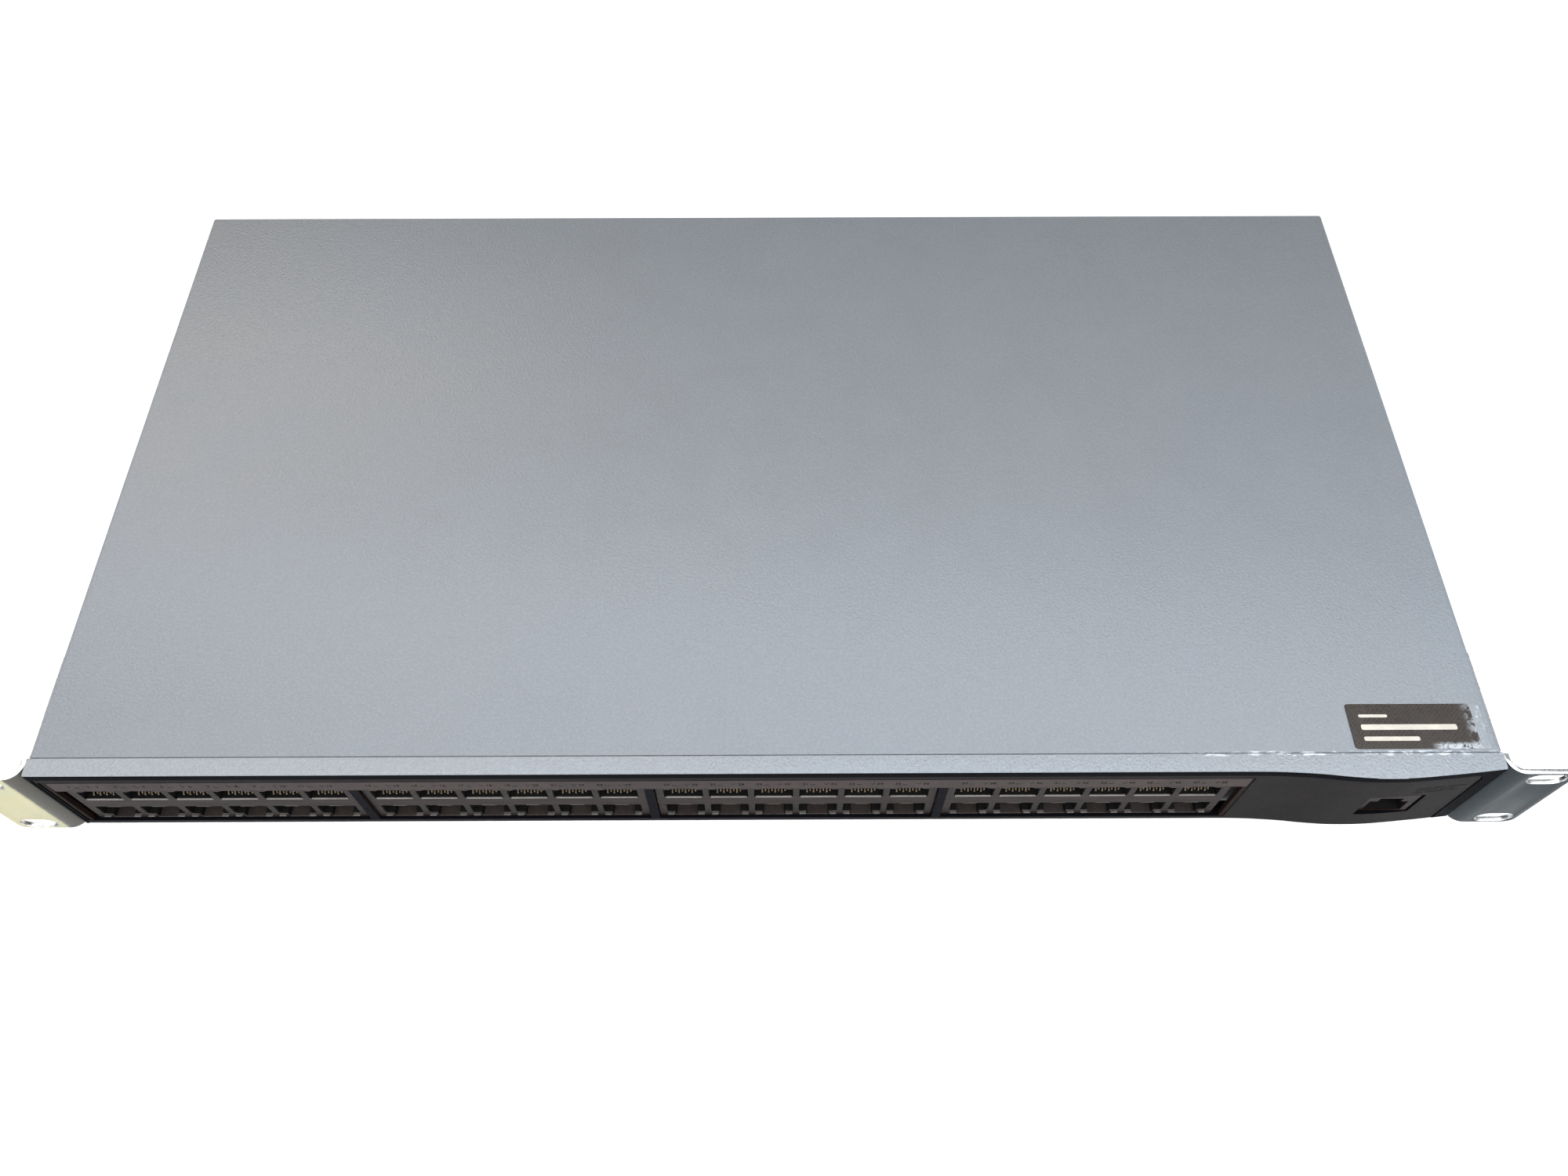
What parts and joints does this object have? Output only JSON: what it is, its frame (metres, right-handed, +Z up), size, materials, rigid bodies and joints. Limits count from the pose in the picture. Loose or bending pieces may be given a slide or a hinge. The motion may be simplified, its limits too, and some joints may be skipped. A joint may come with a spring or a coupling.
{
  "type": "rackmount network switch",
  "caption": "1U rackmount network switch with rack ears: folded steel case, moulded front with stacked modular jacks and a console jack, side fans and a rear power inlet.",
  "frame": {"origin": "on the surface that the switch stands on, under the centre of the bounding box of the case and its rack ears", "axes": "+X to the right as seen from the front, along the long side; +Y to the back, from the ports to the power inlet; +Z up"},
  "size_m": [0.4826, 0.2404, 0.0438],
  "materials": {
    "powder_coat": "fine orange-peel powder coat, satin",
    "bezel_plastic": "moulded, fine spark texture",
    "panel_plastic": "moulded, satin, with printed port numbers",
    "jack_shield_steel": "plated sheet steel",
    "black_nylon": "moulded glass-filled nylon",
    "light_pipe": "clear moulded acrylic",
    "solder_mask": "laminate board with a green mask",
    "psu_board": "bare paper laminate",
    "chip_epoxy": "moulded epoxy",
    "anodised_aluminium": "black anodised",
    "transformer_tape": "polyester tape round a ferrite core",
    "capacitor_sleeve": "heat-shrunk sleeve",
    "insulating_film": "polyester film",
    "nickel_pin": "nickel plate",
    "wire_jacket": "extruded PVC",
    "ear_paint": "powder coat, smoother than the cover",
    "screw_zinc": "zinc plate",
    "label_stock": "printed polyester label"
  },
  "bodies": {
    "chassis": {"ac_inlet": "black_nylon", "asic_heatsink": "anodised_aluminium", "chassis_base": "powder_coat", "console_jack": "black_nylon", "console_shield": "jack_shield_steel", "cover_screw_left_1": "screw_zinc", "cover_screw_left_2": "screw_zinc", "cover_screw_right_1": "screw_zinc", "cover_screw_right_2": "screw_zinc", "cpu_chip": "chip_epoxy", "dc_harness": "wire_jacket", "ear_screw_left_1": "screw_zinc", "ear_screw_left_2": "screw_zinc", "ear_screw_left_3": "screw_zinc", "ear_screw_left_4": "screw_zinc", "ear_screw_right_1": "screw_zinc", "ear_screw_right_2": "screw_zinc", "ear_screw_right_3": "screw_zinc", "ear_screw_right_4": "screw_zinc", "fan_frame_1": "black_nylon", "fan_frame_2": "black_nylon", "fan_lead_1": "wire_jacket", "fan_lead_2": "wire_jacket", "front_bezel": "bezel_plastic", "ground_screw": "screw_zinc", "inlet_pin_earth": "nickel_pin", "inlet_pin_line": "nickel_pin", "inlet_pin_neutral": "nickel_pin", "jack_block_1": "black_nylon", "jack_block_2": "black_nylon", "jack_block_3": "black_nylon", "jack_block_4": "black_nylon", "jack_shield_1": "jack_shield_steel", "jack_shield_2": "jack_shield_steel", "jack_shield_3": "jack_shield_steel", "jack_shield_4": "jack_shield_steel", "light_pipe_1": "light_pipe", "light_pipe_2": "light_pipe", "light_pipe_3": "light_pipe", "light_pipe_4": "light_pipe", "main_pcb": "solder_mask", "memory_chip": "chip_epoxy", "phy_chip_1": "chip_epoxy", "phy_chip_2": "chip_epoxy", "phy_chip_3": "chip_epoxy", "port_panel": "panel_plastic", "psu_bulk_capacitor": "capacitor_sleeve", "psu_heatsink": "anodised_aluminium", "psu_insulating_film": "insulating_film", "psu_pcb": "psu_board", "psu_transformer": "transformer_tape", "rack_ear_left": "ear_paint", "rack_ear_right": "ear_paint", "switch_asic": "chip_epoxy", "top_cover": "powder_coat", "top_label": "label_stock"},
    "fan_rotor_1": {"fan_rotor_1": "black_nylon"},
    "fan_rotor_2": {"fan_rotor_2": "black_nylon"}
  },
  "joints": [
    {"name": "fan_1_spin", "type": "hinge", "parent": "chassis", "child": "fan_rotor_1", "pos_m": [0.2064, 0.0321, 0.0218], "axis": [1, 0, 0], "continuous": true},
    {"name": "fan_2_spin", "type": "hinge", "parent": "chassis", "child": "fan_rotor_2", "pos_m": [0.2064, 0.0781, 0.0218], "axis": [1, 0, 0], "continuous": true}
  ]
}
